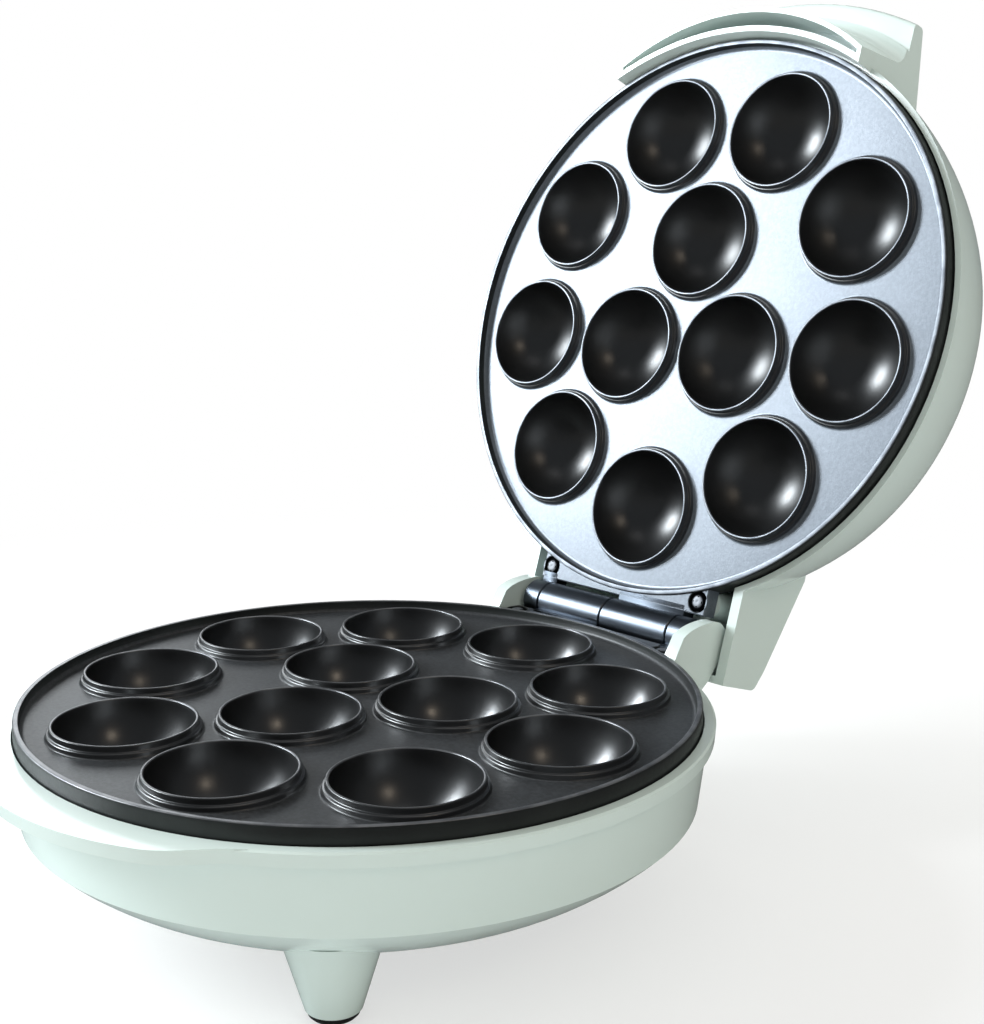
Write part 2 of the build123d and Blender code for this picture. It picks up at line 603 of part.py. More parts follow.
with BuildPart() as base_housing:
    # Bowl, and the rim that stands out around its top
    with BuildSketch(Plane.XZ):
        add(bowl_section(0))
        make_face()
    revolve(axis=Axis.Z)
    with BuildSketch(Plane.XZ):
        with BuildLine():
            Polyline(
                (0, RIM_FOOT),
                (0, -RIM_DEPTH),
                (RIM_RADIUS - RIM_EDGE, -RIM_DEPTH),
                (RIM_RADIUS, -RIM_DEPTH - RIM_EDGE),
                (RIM_RADIUS - RIM_DRAFT, RIM_FOOT),
                (BOWL_TOP_RADIUS + RIM_DRAFT, RIM_FOOT - RIM_UNDERCUT),
                (BOWL_TOP_RADIUS - WALL / 2, RIM_FOOT - RIM_UNDERCUT),
                (BOWL_TOP_RADIUS - WALL / 2, RIM_FOOT),
                close=True,
            )
        make_face()
    revolve(axis=Axis.Z)

    # The front lip that the fingers hold the base by
    for level, spread in ((RIM_FOOT, 0), (-RIM_DEPTH, LIP_SWELL)):
        with BuildSketch(Plane.XY.offset(level)):
            add(lip_outline(spread))
            make_face()
    loft(ruled=True)

    # Legs
    with leg_places(-LEG_FOOT_DEPTH):
        Cone(LEG_FOOT_RADIUS, leg_root_radius, leg_height, align=standing)
    add(rear_legs.part)

    # Cheeks beside the hinge
    with BuildSketch(Plane.YZ.offset(CHEEK_INNER)):
        add(cheek_outline())
        make_face()
    extrude(amount=CHEEK_WIDTH)
    with BuildSketch(Plane.YZ.offset(-CHEEK_OUTER)):
        add(cheek_outline())
        make_face()
    extrude(amount=CHEEK_WIDTH)
    # Everything inside: the cavity, the plate's recess and the seat it stands on
    with BuildSketch(Plane.XZ):
        add(bowl_section(WALL))
        make_face()
    revolve(axis=Axis.Z, mode=Mode.SUBTRACT)
    with BuildSketch(Plane.XY.offset(SEAT_LEVEL)):
        Circle(RECESS_RADIUS)
    extrude(amount=SKIRT_DEPTH + SEAT_GAP, mode=Mode.SUBTRACT)
    with BuildSketch(Plane.XZ):
        with BuildLine():
            Polyline(
                (RECESS_RADIUS + ROOT, SEAT_LEVEL),
                (RECESS_RADIUS - LEDGE_WIDTH, SEAT_LEVEL),
                (RECESS_RADIUS - LEDGE_WIDTH, SEAT_LEVEL - LEDGE_HEIGHT),
                (BOWL_TOP_RADIUS - WALL, SEAT_LEVEL - 2 * LEDGE_HEIGHT),
                (BOWL_TOP_RADIUS - WALL / 2, SEAT_LEVEL - 2 * LEDGE_HEIGHT),
                close=True,
            )
        make_face()
    revolve(axis=Axis.Z)

    # Two shelves for the lug's ends, drawn up against the back wall
    for start in (-CHEEK_OUTER, SHELF_INNER):
        with BuildSketch(Plane.YZ.offset(start)):
            with BuildLine():
                Polyline(
                    (SHELF_FRONT, SEAT_LEVEL),
                    (LUG_REACH, SEAT_LEVEL),
                    (LUG_REACH, -SHELF_BOTTOM),
                    (BOWL_FOOT_RADIUS - WALL, -SHELF_BOTTOM - LEDGE_HEIGHT),
                    (SHELF_FRONT, -SHELF_BOTTOM - LEDGE_HEIGHT),
                    close=True,
                )
            make_face()
        extrude(amount=SHELF_WIDTH)

    # The rim stops between the cheeks, and the lug lies on the shelves there
    with BuildSketch(Plane.XY.offset(LUG_BOTTOM - SEAT_GAP)):
        with Locations((0, SHELF_FRONT)):
            Rectangle(2 * CHEEK_INNER, CHEEK_INNER, align=(Align.CENTER, Align.MIN))
    extrude(amount=CHEEK_INNER, mode=Mode.SUBTRACT)
    with lug_screw_places(LUG_BOTTOM - SEAT_GAP):
        Hole(HOLE_RADIUS, depth=SCREW_LENGTH)
    for start in (-STOP_OUTER, STOP_OUTER - STOP_WIDTH):
        with BuildSketch(Plane.YZ.offset(start)):
            add(stop_outline())
            make_face()
        extrude(amount=STOP_WIDTH)

    # Hollow legs with the holes for the feet's stems
    with leg_places(-LEG_FOOT_DEPTH + STEM_LENGTH):
        Cone(
            STEM_RADIUS + LEG_WALL / 2,
            leg_root_radius - LEG_WALL,
            leg_height - STEM_LENGTH,
            align=standing,
            mode=Mode.SUBTRACT,
        )
    with rear_leg_places(-LEG_FOOT_DEPTH + STEM_LENGTH):
        Cone(
            STEM_RADIUS + LEG_WALL / 2,
            REAR_HOLLOW_RADIUS,
            rear_height - STEM_LENGTH - LEG_WALL,
            align=standing,
            mode=Mode.SUBTRACT,
        )
    for places in (leg_places(-LEG_FOOT_DEPTH), rear_leg_places(-LEG_FOOT_DEPTH)):
        with places:
            Cylinder(STEM_RADIUS + STEM_GAP, STEM_LENGTH, align=standing, mode=Mode.SUBTRACT)

    # Screw posts, counterbored from below
    with BuildSketch(Plane.XY.offset(SHIELD_UNDER - SEAT_GAP)):
        with post_places():
            Circle(POST_FOOT_RADIUS)
    extrude(amount=-(BOWL_DEPTH - WALL / 2 + SHIELD_UNDER - SEAT_GAP))
    with BuildSketch(Plane.XY.offset(-BOWL_DEPTH)):
        with post_places():
            Circle(COUNTERBORE_RADIUS)
    extrude(amount=COUNTERBORE_DEPTH, mode=Mode.SUBTRACT)
    with BuildSketch(Plane.XY.offset(-BOWL_DEPTH)):
        with post_places():
            Circle(HOLE_RADIUS)
    extrude(amount=BOWL_DEPTH, mode=Mode.SUBTRACT)

    # The inlet for the supply lead, through the back wall
    with BuildSketch(Plane.XZ.offset(-BOWL_FOOT_RADIUS / 2)):
        with Locations((0, -INLET_DEPTH)):
            Circle(GLAND_RADIUS + GLAND_CLEARANCE)
    extrude(amount=-BOWL_FOOT_RADIUS, mode=Mode.SUBTRACT)
base_housing.part.label = "base_housing"


def tail_outline(inset):
    """The tail's outline in the YZ plane, moved inward by the given wall."""
    slope = atan2(LID_EDGE_DEPTH - TAIL_SHOULDER_DEPTH, TAIL_SHOULDER - TAIL_RIDGE)
    drop = inset / cos(slope)
    front = TAIL_RIDGE - LEDGE_WIDTH
    with BuildLine() as outline:
        Polyline(
            (front, -RIM_DEPTH),
            (TAIL_BACK - inset, -RIM_DEPTH),
            (TAIL_BACK - inset, -TAIL_BACK_DEPTH + inset / 2),
            (TAIL_SHOULDER - inset / 2, -TAIL_SHOULDER_DEPTH + drop),
            (TAIL_RIDGE, -LID_EDGE_DEPTH + drop),
            (front, -LID_EDGE_DEPTH + drop),
            close=True,
        )
    return outline.line


def handle_cut(half):
    """The block of space in front of the lid, of the given half width, that keeps the handle."""
    with BuildPart() as block:
        with BuildSketch(Plane.XY.offset(SKIRT_DROP)):
            with Locations((0, -LID_WAIST_RADIUS / 2)):
                Rectangle(2 * half, LID_WAIST_RADIUS, align=(Align.CENTER, Align.MAX))
        extrude(amount=-LID_DEPTH)
    return block.part


with BuildPart() as lid_shape:
    # The shell's outside with the tail and the handle, still solid
    with BuildSketch(Plane.XZ):
        add(lid_section(0))
        make_face()
    revolve(axis=Axis.Z)
    fillet(edges().filter_by(lambda e: e.geom_type == GeomType.CIRCLE
                             and abs(e.radius - LID_EDGE_RADIUS) < 0.1), LID_EDGE_ROUND)
    with BuildSketch(Plane.YZ.offset(-TAIL_HALF)):
        add(tail_outline(0))
        make_face()
        corners = vertices().sort_by(Axis.X)
        fillet(corners[-3:].sort_by(Axis.Y)[:2], TAIL_ROUND)
    extrude(amount=2 * TAIL_HALF)

with BuildPart() as grip:
    # The hand grip: a beak along the lid's edge over a skirt that hangs past the parting
    with BuildSketch(Plane.XZ.offset(GRIP_CENTRE)):
        with BuildLine():
            skin = (GRIP_ARC + GRIP_FLARE, -BEAK_UNDER + GRIP_FILLET)
            root = (skin[0] + GRIP_FILLET, -BEAK_UNDER)
            bend = GRIP_FILLET * (1 - cos(pi / 4))
            Polyline((0, -BEAK_UNDER - BEAK_DROOP), (0, SKIRT_DROP), (GRIP_ARC, SKIRT_DROP), skin)
            ThreePointArc(skin, (skin[0] + bend, -BEAK_UNDER + bend), root)
            Polyline(root, (root[0], -BEAK_UNDER - BEAK_DROOP), (0, -BEAK_UNDER - BEAK_DROOP))
        make_face()
    revolve(axis=Axis((0, -GRIP_CENTRE, 0), (0, 0, 1)))
    with BuildSketch(Plane.XZ):
        with BuildLine():
            Polyline(
                (0, -BEAK_UNDER),
                (BEAK_RADIUS, -BEAK_UNDER - BEAK_DROOP),
                (BEAK_RADIUS, -BEAK_TIP),
                (LID_EDGE_RADIUS, -LID_EDGE_DEPTH + ROOT),
                (0, -LID_EDGE_DEPTH + ROOT),
                close=True,
            )
        make_face()
        fillet(vertices().group_by(Axis.X)[-1], BEAK_ROUND)
    revolve(axis=Axis.Z)
    add(handle_cut(HANDLE_HALF), mode=Mode.INTERSECT)

with BuildPart() as grip_pocket:
    # The pocket between the lid's own wall and the skirt's skin, open downward
    with BuildSketch(Plane.XZ.offset(GRIP_CENTRE)):
        with BuildLine():
            Polyline(
                (0, SKIRT_DROP),
                (GRIP_ARC - GRIP_WALL, SKIRT_DROP),
                (GRIP_ARC - GRIP_WALL + GRIP_FLARE, -POCKET_DEPTH),
                (0, -POCKET_DEPTH),
                close=True,
            )
        make_face()
    revolve(axis=Axis((0, -GRIP_CENTRE, 0), (0, 0, 1)))
    add(handle_cut(HANDLE_HALF - GRIP_WALL), mode=Mode.INTERSECT)
    with BuildSketch(Plane.XY.offset(SKIRT_DROP)):
        Circle(SKIRT_OUTER)
    extrude(amount=-LID_DEPTH, mode=Mode.SUBTRACT)

with BuildPart() as lid_housing:
    add(lid_shape.part)
    add(grip.part)

    # Inside the rim the skirt flares a little, so that it closes over the lower plate
    with BuildSketch(Plane.XZ):
        with BuildLine():
            Polyline(
                (0, SKIRT_DROP),
                (SKIRT_INNER + SKIRT_FLARE / 2, SKIRT_DROP),
                (SKIRT_INNER, -RIM_DEPTH),
                (RECESS_RADIUS, -RIM_DEPTH),
                (RECESS_RADIUS, SEAT_LEVEL),
                (0, SEAT_LEVEL),
                close=True,
            )
        make_face()
    revolve(axis=Axis.Z, mode=Mode.SUBTRACT)
    add(grip_pocket.part, mode=Mode.SUBTRACT)
    with BuildSketch(Plane.XZ):
        add(lid_section(WALL))
        make_face()
    revolve(axis=Axis.Z, mode=Mode.SUBTRACT)

    # The plate's seat, left out across the tail
    with BuildSketch(Plane.XZ):
        with BuildLine():
            Polyline(
                (RECESS_RADIUS + RIM_EDGE / 2, SEAT_LEVEL),
                (RECESS_RADIUS - LEDGE_WIDTH, SEAT_LEVEL),
                (RECESS_RADIUS - LEDGE_WIDTH, SEAT_LEVEL - LEDGE_HEIGHT),
                (LID_WAIST_RADIUS - WALL / 4, SEAT_LEVEL - 2 * LEDGE_HEIGHT),
                (LID_WAIST_RADIUS, SEAT_LEVEL - 2 * LEDGE_HEIGHT),
                close=True,
            )
        make_face()
    revolve(axis=Axis.Z)
    with BuildSketch(Plane.YZ.offset(-TAIL_HALF + TAIL_SIDE_WALL)):
        add(tail_outline(TAIL_WALL))
        make_face()
    extrude(amount=2 * (TAIL_HALF - TAIL_SIDE_WALL), mode=Mode.SUBTRACT)

    # Bosses for the lug screws, hung from the tail's roof and cut back round the plate's skirt
    with BuildSketch(Plane.XY.offset(LUG_BOTTOM - SEAT_GAP)):
        with lug_screw_places(0):
            Circle(LUG_BOSS_RADIUS)
    extrude(amount=-LUG_BOSS_LENGTH)
    with BuildSketch(Plane.XY.offset(SEAT_LEVEL)):
        Circle(RECESS_RADIUS)
    extrude(amount=SKIRT_DEPTH, mode=Mode.SUBTRACT)
    with lug_screw_places(LUG_BOTTOM - SEAT_GAP):
        Hole(HOLE_RADIUS, depth=SCREW_LENGTH)

    # Seats and holes for the two pilot lenses
    with BuildSketch(Plane.XY.offset(-LID_ROOF)):
        with Locations((-LENS_X, LENS_Y), (LENS_X, LENS_Y)):
            Circle(LENS_FLANGE + LENS_CLEARANCE)
    extrude(amount=-LENS_LENGTH, mode=Mode.SUBTRACT)
    with BuildSketch(Plane.XY.offset(-LID_ROOF + LENS_LENGTH)):
        with Locations((-LENS_X, LENS_Y), (LENS_X, LENS_Y)):
            Circle(LENS_RADIUS + LENS_CLEARANCE)
    extrude(amount=-2 * LENS_LENGTH, mode=Mode.SUBTRACT)


def heater_tube():
    """A tubular heating element: an open ring under the rib, both ends turned down to its pins."""
    level = -RIB_DEPTH - TUBE_RADIUS - TUBE_SWELL
    half = TUBE_OPENING / 2
    with BuildPart() as tube:
        with BuildSketch(Plane.XZ.rotated((0, 0, 90 + half))):
            with Locations((RIB_CIRCLE, level)):
                Circle(TUBE_RADIUS)
        revolve(axis=Axis.Z, revolution_arc=360 - TUBE_OPENING)
        with PolarLocations(RIB_CIRCLE, 2, start_angle=90 - half, angular_range=TUBE_OPENING, endpoint=True):
            with Locations((0, 0, level)):
                Sphere(TUBE_RADIUS + TUBE_SWELL)
                Cylinder(TUBE_RADIUS, TAIL_PIN_DROP, align=(Align.CENTER, Align.CENTER, Align.MAX))
            with Locations((0, 0, level - TAIL_PIN_DROP)):
                Cylinder(PIN_TIP_RADIUS, PIN_TIP_LENGTH, align=(Align.CENTER, Align.CENTER, Align.MAX))
    return tube.part


def heat_shield():
    """A pressed dish behind the plate, pierced for the posts, the thermostat and the heater's ends."""
    with BuildPart() as dish:
        with BuildSketch(Plane.XZ):
            with BuildLine():
                outer = FilletPolyline(
                    (0, SHIELD_UNDER),
                    (SHIELD_RADIUS, SHIELD_UNDER),
                    (SHIELD_RADIUS, SHIELD_UNDER + SHIELD_WALL),
                    radius=SHIELD_BEND,
                )
                offset(outer, SHIELD_THICKNESS, side=Side.LEFT)
            make_face()
        revolve(axis=Axis.Z)
        with BuildSketch(Plane.XY.offset(SHIELD_UNDER - SHIELD_THICKNESS)):
            Circle(THERMOSTAT_HOLE)
            with post_places():
                Circle(HOLE_RADIUS + SCREW_CLEARANCE)
            with PolarLocations(
                RIB_CIRCLE, 2, start_angle=90 - TUBE_OPENING / 2, angular_range=TUBE_OPENING, endpoint=True
            ):
                Circle(TUBE_RADIUS + TUBE_ROOM)
        extrude(amount=3 * SHIELD_THICKNESS, mode=Mode.SUBTRACT)
    return dish.part


def thermostat():
    """A disc thermostat pressed to the plate's middle boss: cap, body and two blade terminals."""
    top = -SHIELD_DEPTH + THERMOSTAT_HEIGHT - SEAT_GAP
    with BuildPart() as disc:
        with Locations((0, 0, top)):
            Cylinder(THERMOSTAT_RADIUS, THERMOSTAT_HEIGHT, align=(Align.CENTER, Align.CENTER, Align.MAX))
        with Locations((0, 0, top - THERMOSTAT_HEIGHT)):
            Cylinder(THERMOSTAT_RADIUS - 1, THERMOSTAT_BODY, align=(Align.CENTER, Align.CENTER, Align.MAX))
        foot = top - THERMOSTAT_HEIGHT - THERMOSTAT_BODY
        with Locations((-BLADE_SPREAD, 0, foot), (BLADE_SPREAD, 0, foot)):
            blade = (Align.CENTER, Align.CENTER, Align.MAX)
            Box(BLADE_THICKNESS, BLADE_WIDTH, BLADE_LENGTH, align=blade)
    return disc.part


def upward_screws(length, seat):
    """Three screws in the posts' places, their heads below the given seat."""
    screw = cross_screw(length).rotate(Axis.X, 180)
    return [place * screw for place in post_places_at(seat)]


def post_places_at(level):
    """The posts' places as a list of locations at one height."""
    turns = [radians(270 + 360 * step / INNER_CUPS) for step in range(INNER_CUPS)]
    return [Location((POST_CIRCLE * cos(turn), POST_CIRCLE * sin(turn), level)) for turn in turns]


with BuildPart() as thermal_fuse:
    # A small can in a clip under the shield
    with Locations((0, FUSE_Y, SHIELD_UNDER - FUSE_RADIUS - SEAT_GAP)):
        Cylinder(FUSE_RADIUS, FUSE_LENGTH, rotation=(0, 90, 0))
        Cylinder(FUSE_RADIUS / 3, FUSE_LENGTH + 2 * FUSE_LEAD, rotation=(0, 90, 0))

with BuildPart() as terminal_block:
    # Two-way block on the bowl's floor, its screws' wells open upward
    floor = -BOWL_DEPTH + WALL
    ways = (-BLOCK_LENGTH / 4, BLOCK_LENGTH / 4)
    with Locations((0, BLOCK_Y, floor)):
        Box(BLOCK_LENGTH, BLOCK_WIDTH, BLOCK_HEIGHT, align=standing)
    with Locations(*[(way, BLOCK_Y, floor + BLOCK_HEIGHT) for way in ways]):
        Hole(BLOCK_WELL, depth=BLOCK_HEIGHT * 0.6)
    with Locations(*[(way, BLOCK_Y, floor + BLOCK_HEIGHT * 0.45) for way in ways]):
        Cylinder(BLOCK_BORE, 2 * BLOCK_WIDTH, rotation=(90, 0, 0), mode=Mode.SUBTRACT)

with BuildPart() as lead_gland:
    # Rubber bush in the back wall, a flange on either side of it
    inner_face = bowl_wall(INLET_DEPTH + GLAND_FLANGE) - WALL
    inner_face = sqrt(inner_face**2 - GLAND_FLANGE**2) - SEAT_GAP
    outer_face = bowl_wall(INLET_DEPTH - GLAND_FLANGE) + SEAT_GAP
    with BuildSketch(Plane.XZ.offset(GLAND_LIP - inner_face)):
        with Locations((0, -INLET_DEPTH)):
            Circle(GLAND_FLANGE)
    extrude(amount=-GLAND_LIP)
    with BuildSketch(Plane.XZ.offset(-inner_face)):
        with Locations((0, -INLET_DEPTH)):
            Circle(GLAND_RADIUS)
    extrude(amount=inner_face - outer_face)
    with BuildSketch(Plane.XZ.offset(-outer_face)):
        with Locations((0, -INLET_DEPTH)):
            Circle(GLAND_FLANGE)
    extrude(amount=-GLAND_LIP)
    with BuildSketch(Plane.XZ.offset(-inner_face / 2)):
        with Locations((0, -INLET_DEPTH)):
            Circle(GLAND_BORE)
    extrude(amount=-inner_face, mode=Mode.SUBTRACT)

with BuildPart() as foot:
    # A rubber foot with the stem that holds it in the leg
    Cylinder(FOOT_RADIUS, FOOT_HEIGHT, align=standing)
    chamfer(edges().group_by(Axis.Z)[0], FOOT_CHAMFER)
    with Locations((0, 0, FOOT_HEIGHT)):
        Cylinder(STEM_RADIUS, STEM_LENGTH - STEM_GAP, align=standing)

with BuildPart() as lens:
    # A domed pilot lens, its flange's seat at height 0 and its dome downward
    with BuildSketch(Plane.XZ):
        with BuildLine():
            Polyline(
                (0, -LENS_RISE),
                (0, LENS_LENGTH),
                (LENS_RADIUS, LENS_LENGTH),
                (LENS_RADIUS, 0),
                (LENS_FLANGE, 0),
                (LENS_FLANGE, -LENS_RISE + LENS_DOME),
            )
            shoulder = (LENS_FLANGE, -LENS_RISE + LENS_DOME)
            ThreePointArc(shoulder, cap_middle(shoulder, -LENS_RISE), (0, -LENS_RISE))
        make_face()
    revolve(axis=Axis.Z)

# Every piece in its place, the lid's pieces still facing up
base_pieces = {
    "base_housing": base_housing.part,
    "lower_plate": lower_plate,
    "hinge_pin": hinge_pin.part,
    "hinge_washer_left": left_washer,
    "hinge_washer_right": right_washer,
    "lower_heater": heater_tube(),
    "lower_shield": heat_shield(),
    "lower_thermostat": thermostat(),
    "thermal_fuse": thermal_fuse.part,
    "terminal_block": terminal_block.part,
    "lead_gland": lead_gland.part,
}
lid_pieces = {
    "lid_housing": lid_housing.part,
    "upper_plate": upper_plate,
    "upper_heater": heater_tube(),
    "upper_shield": heat_shield(),
    "upper_thermostat": thermostat(),
}
foot_names = ("foot_front_left", "foot_front_right", "foot_rear_left", "foot_rear_right")
foot_spots = (
    (-FRONT_LEG, -FRONT_LEG),
    (FRONT_LEG, -FRONT_LEG),
    (-REAR_LEG_X, REAR_LEG_Y),
    (REAR_LEG_X, REAR_LEG_Y),
)
for name, spot in zip(foot_names, foot_spots):
    base_pieces[name] = Location((*spot, -FLOOR_DEPTH)) * foot.part
base_seat = -BOWL_DEPTH + COUNTERBORE_DEPTH
base_screws = upward_screws(-base_seat - SHIELD_DEPTH + BITE, base_seat - SEAT_GAP)
shield_screws = upward_screws(BITE + SHIELD_THICKNESS, SHIELD_UNDER - SEAT_GAP)
for number, (base_screw, shield_screw) in enumerate(zip(base_screws, shield_screws), start=1):
    base_pieces[f"base_screw_{number}"] = base_screw
    lid_pieces[f"shield_screw_{number}"] = shield_screw
lug_screw = cross_screw(SCREW_LENGTH)
for side, across in (("left", -LUG_SCREW_X), ("right", LUG_SCREW_X)):
    spot = Location((across, LUG_SCREW_Y, LUG_TOP - HEAD_HEIGHT + SEAT_GAP))
    base_pieces[f"lower_lug_screw_{side}"] = spot * lug_screw
    lid_pieces[f"upper_lug_screw_{side}"] = spot * lug_screw
for name, across in (("power_lens", -LENS_X), ("ready_lens", LENS_X)):
    lid_pieces[name] = Location((across, LENS_Y, -LID_ROOF - SEAT_GAP)) * lens.part

# The lid's pieces are mirrored in the parting plane and swung open about the hinge
pieces = dict(base_pieces)
for name, piece in lid_pieces.items():
    facing = piece.mirror(Plane.XY.offset(HINGE_LEVEL))
    pieces[name] = facing.rotate(HINGE_LINE, -OPEN_ANGLE)

# The whole stands on the floor, the origin under the middle of its footprint
boxes = [piece.bounding_box() for piece in pieces.values()]
front = min(box.min.Y for box in boxes)
back = max(box.max.Y for box in boxes)
to_floor = Location((0, -(front + back) / 2, FLOOR_DEPTH))
for name, piece in pieces.items():
    placed = to_floor * piece
    placed.label = name
    export_step(placed, f"parts/{name}.step")
    print(name, round(placed.volume), len(placed.solids()))
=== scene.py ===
import json
import math
import bpy
import bmesh
import numpy as np
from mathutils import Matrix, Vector


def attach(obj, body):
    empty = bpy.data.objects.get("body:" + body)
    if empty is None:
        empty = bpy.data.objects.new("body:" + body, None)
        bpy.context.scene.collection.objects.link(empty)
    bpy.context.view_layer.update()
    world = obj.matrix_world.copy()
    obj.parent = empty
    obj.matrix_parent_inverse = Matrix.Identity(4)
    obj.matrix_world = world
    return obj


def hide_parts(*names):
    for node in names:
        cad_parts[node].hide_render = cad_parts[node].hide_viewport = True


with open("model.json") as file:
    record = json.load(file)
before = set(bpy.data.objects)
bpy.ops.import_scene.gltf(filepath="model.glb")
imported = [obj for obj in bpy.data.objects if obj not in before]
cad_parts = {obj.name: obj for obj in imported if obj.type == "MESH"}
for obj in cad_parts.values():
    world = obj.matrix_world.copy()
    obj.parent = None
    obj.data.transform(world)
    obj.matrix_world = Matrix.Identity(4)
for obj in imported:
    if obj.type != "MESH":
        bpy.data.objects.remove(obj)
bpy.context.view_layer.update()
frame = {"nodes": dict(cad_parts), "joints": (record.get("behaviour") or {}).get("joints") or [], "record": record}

NODES = frame["nodes"]
HINGE = np.array(frame["joints"][0]["pos_m"])
OPEN = math.radians(frame["joints"][0]["range_deg"][1])
HALF_GAP = 0.0004
MM = 0.001

# Sizes of the cast plates, in millimetres, as the frame has them: heights are from the parting plane
CUP = 19.0
CUP_BACK = CUP + 2.2
RING_TOP = CUP + 0.85
RING_FOOT = CUP + 1.7
RING_LEDGE = 1.7
RING_HIGH = 3.3
WEB = 3.0
OUTER = (CUP + 4.25) / math.sin(math.pi / 9)
INNER = (CUP + 3.15) / math.sin(math.pi / 3)
PLATE = OUTER + CUP + 9.8
DAM = 1.6
DAM_STEP = 1.3
COVE = 3.2
SKIRT_DEEP = 9.0
SKIRT_WALL = 3.0
SKIRT_DRAFT = 0.4

# Under the web
INSIDE_WEB = -6.0
RIB_HALF = 2.5
RIB_FOOT = -17.0
BOSS = 4.2
BOSS_FOOT = -26.0
BOSS_BORE = 1.65
BORE_END = -14.0
CENTRE_BOSS = 7.0
CENTRE_FOOT = -21.0

# The lug, its knuckles and its screws
BARREL_SIZE = 6.6
BARREL_RISE = 0.4
BARREL_END = 35.4
KNUCKLE_SPLIT = 28.3
SETBACK = PLATE + BARREL_SIZE + 3.0
LUG_HALF = 36.0
LUG_REACH = SETBACK - BARREL_SIZE - 1.3
LUG_TOP = -0.8
LUG_UNDER = -6.3
SCREW_X = 32.4
SEAT_RADIUS = 3.55
SEAT_DEEP = 2.0
SEAT_INSET = 4.1
CROSS_DEEP = 0.9

# Which of a plate's five materials a row of quads takes
FLAT, LINING, HIGHLIGHT_LINE, BACK, KNUCKLE = range(5)

# Edges that turn more than this many degrees stay sharp
CAST_CREASE = 40
SOLID_CREASE = 32


def cup_centres():
    """The twelve cup centres of one plate: nine evenly round the outer circle, three round the inner."""
    outer = np.radians(90 + 40 * np.arange(9))
    inner = np.radians(270 + 120 * np.arange(3))
    ring = [np.stack([r * np.cos(a), r * np.sin(a)], -1) for r, a in ((OUTER, outer), (INNER, inner))]
    return np.concatenate(ring)


def in_base(points):
    """Millimetres about the lower plate's axis to metres in the frame: a shift to the hinge's place."""
    return points * MM + (HINGE - np.array([0, SETBACK, HALF_GAP / MM]) * MM)


def in_lid(points):
    """The same for the lid: mirrored in the parting plane, then swung open about the hinge line."""
    flipped = in_base(points * [1, 1, -1]) - HINGE + [0, 0, 2 * HALF_GAP]
    cosine, sine = math.cos(-OPEN), math.sin(-OPEN)
    turn = np.array([[1, 0, 0], [0, cosine, -sine], [0, sine, cosine]])
    return flipped @ turn.T + HINGE


def grid_faces(rows, columns, closed):
    """Quads between neighbouring rows and columns of a grid; the last column meets the first if closed."""
    across = columns if closed else columns - 1
    i, j = np.meshgrid(np.arange(rows - 1), np.arange(across), indexing="ij")
    k = (j + 1) % columns
    quads = np.stack([i * columns + j, i * columns + k, (i + 1) * columns + k, (i + 1) * columns + j], -1)
    return quads.reshape(-1, 4), np.repeat(np.arange(rows - 1), across)


class Surface:
    """Collects grids of points and their quads, each row of quads with its own finish."""

    def __init__(self):
        self.points, self.quads, self.finish, self.count = [], [], [], 0

    def add(self, grid, finish, closed=True, flip=False):
        rows, columns = grid.shape[:2]
        quads, row = grid_faces(rows, columns, closed)
        self.points.append(grid.reshape(-1, 3))
        self.quads.append((quads[:, ::-1] if flip else quads) + self.count)
        self.finish.append(np.asarray(finish)[row] if np.ndim(finish) else np.full(len(quads), finish))
        self.count += rows * columns

    def piece(self, name, materials, place, mirrored):
        """One object of all the grids: doubles merged, smooth except where faces meet sharply."""
        quads = np.concatenate(self.quads)
        mesh = bpy.data.meshes.new(name)
        mesh.from_pydata(place(np.concatenate(self.points)), [], quads[:, ::-1] if mirrored else quads)
        for material in materials:
            mesh.materials.append(material)
        mesh.polygons.foreach_set("material_index", np.concatenate(self.finish).astype(np.int32))
        obj = bpy.data.objects.new(name, mesh)
        bpy.context.scene.collection.objects.link(obj)
        weld(obj, CAST_CREASE)
        return obj


def weld(obj, crease):
    """Merges doubles, then shades smooth but for edges turning more than the crease angle."""
    work = bmesh.new()
    work.from_mesh(obj.data)
    bmesh.ops.remove_doubles(work, verts=work.verts, dist=2e-6)
    bmesh.ops.dissolve_degenerate(work, edges=work.edges, dist=1e-6)
    work.to_mesh(obj.data)
    work.free()
    obj.data.polygons.foreach_set("use_smooth", np.ones(len(obj.data.polygons), bool))
    obj.data.set_sharp_from_angle(angle=math.radians(crease))


def lathe(profile, steps, centre=(0, 0)):
    """A profile of (radius, height) turned about an upright axis through the centre."""
    turn = np.linspace(0, 2 * np.pi, steps, endpoint=False)
    radius, height = np.asarray(profile, float).T
    x = centre[0] + radius[:, None] * np.cos(turn)
    y = centre[1] + radius[:, None] * np.sin(turn)
    return np.stack([x, y, np.broadcast_to(height[:, None], x.shape)], -1)


def rounded(corners, radii, steps):
    """An open line through corners, each inner corner replaced by points on a quadratic curve."""
    corners = np.asarray(corners, float)
    line = [corners[:1]]
    t = np.linspace(0, 1, steps)[:, None]
    for before, at, after, r in zip(corners[:-2], corners[1:-1], corners[2:], radii[1:-1]):
        a, b = before - at, after - at
        start = at + a * min(0.5, r / np.linalg.norm(a))
        end = at + b * min(0.5, r / np.linalg.norm(b))
        line.append((1 - t) ** 2 * start + 2 * t * (1 - t) * at + t**2 * end)
    return np.concatenate(line + [corners[-1:]])


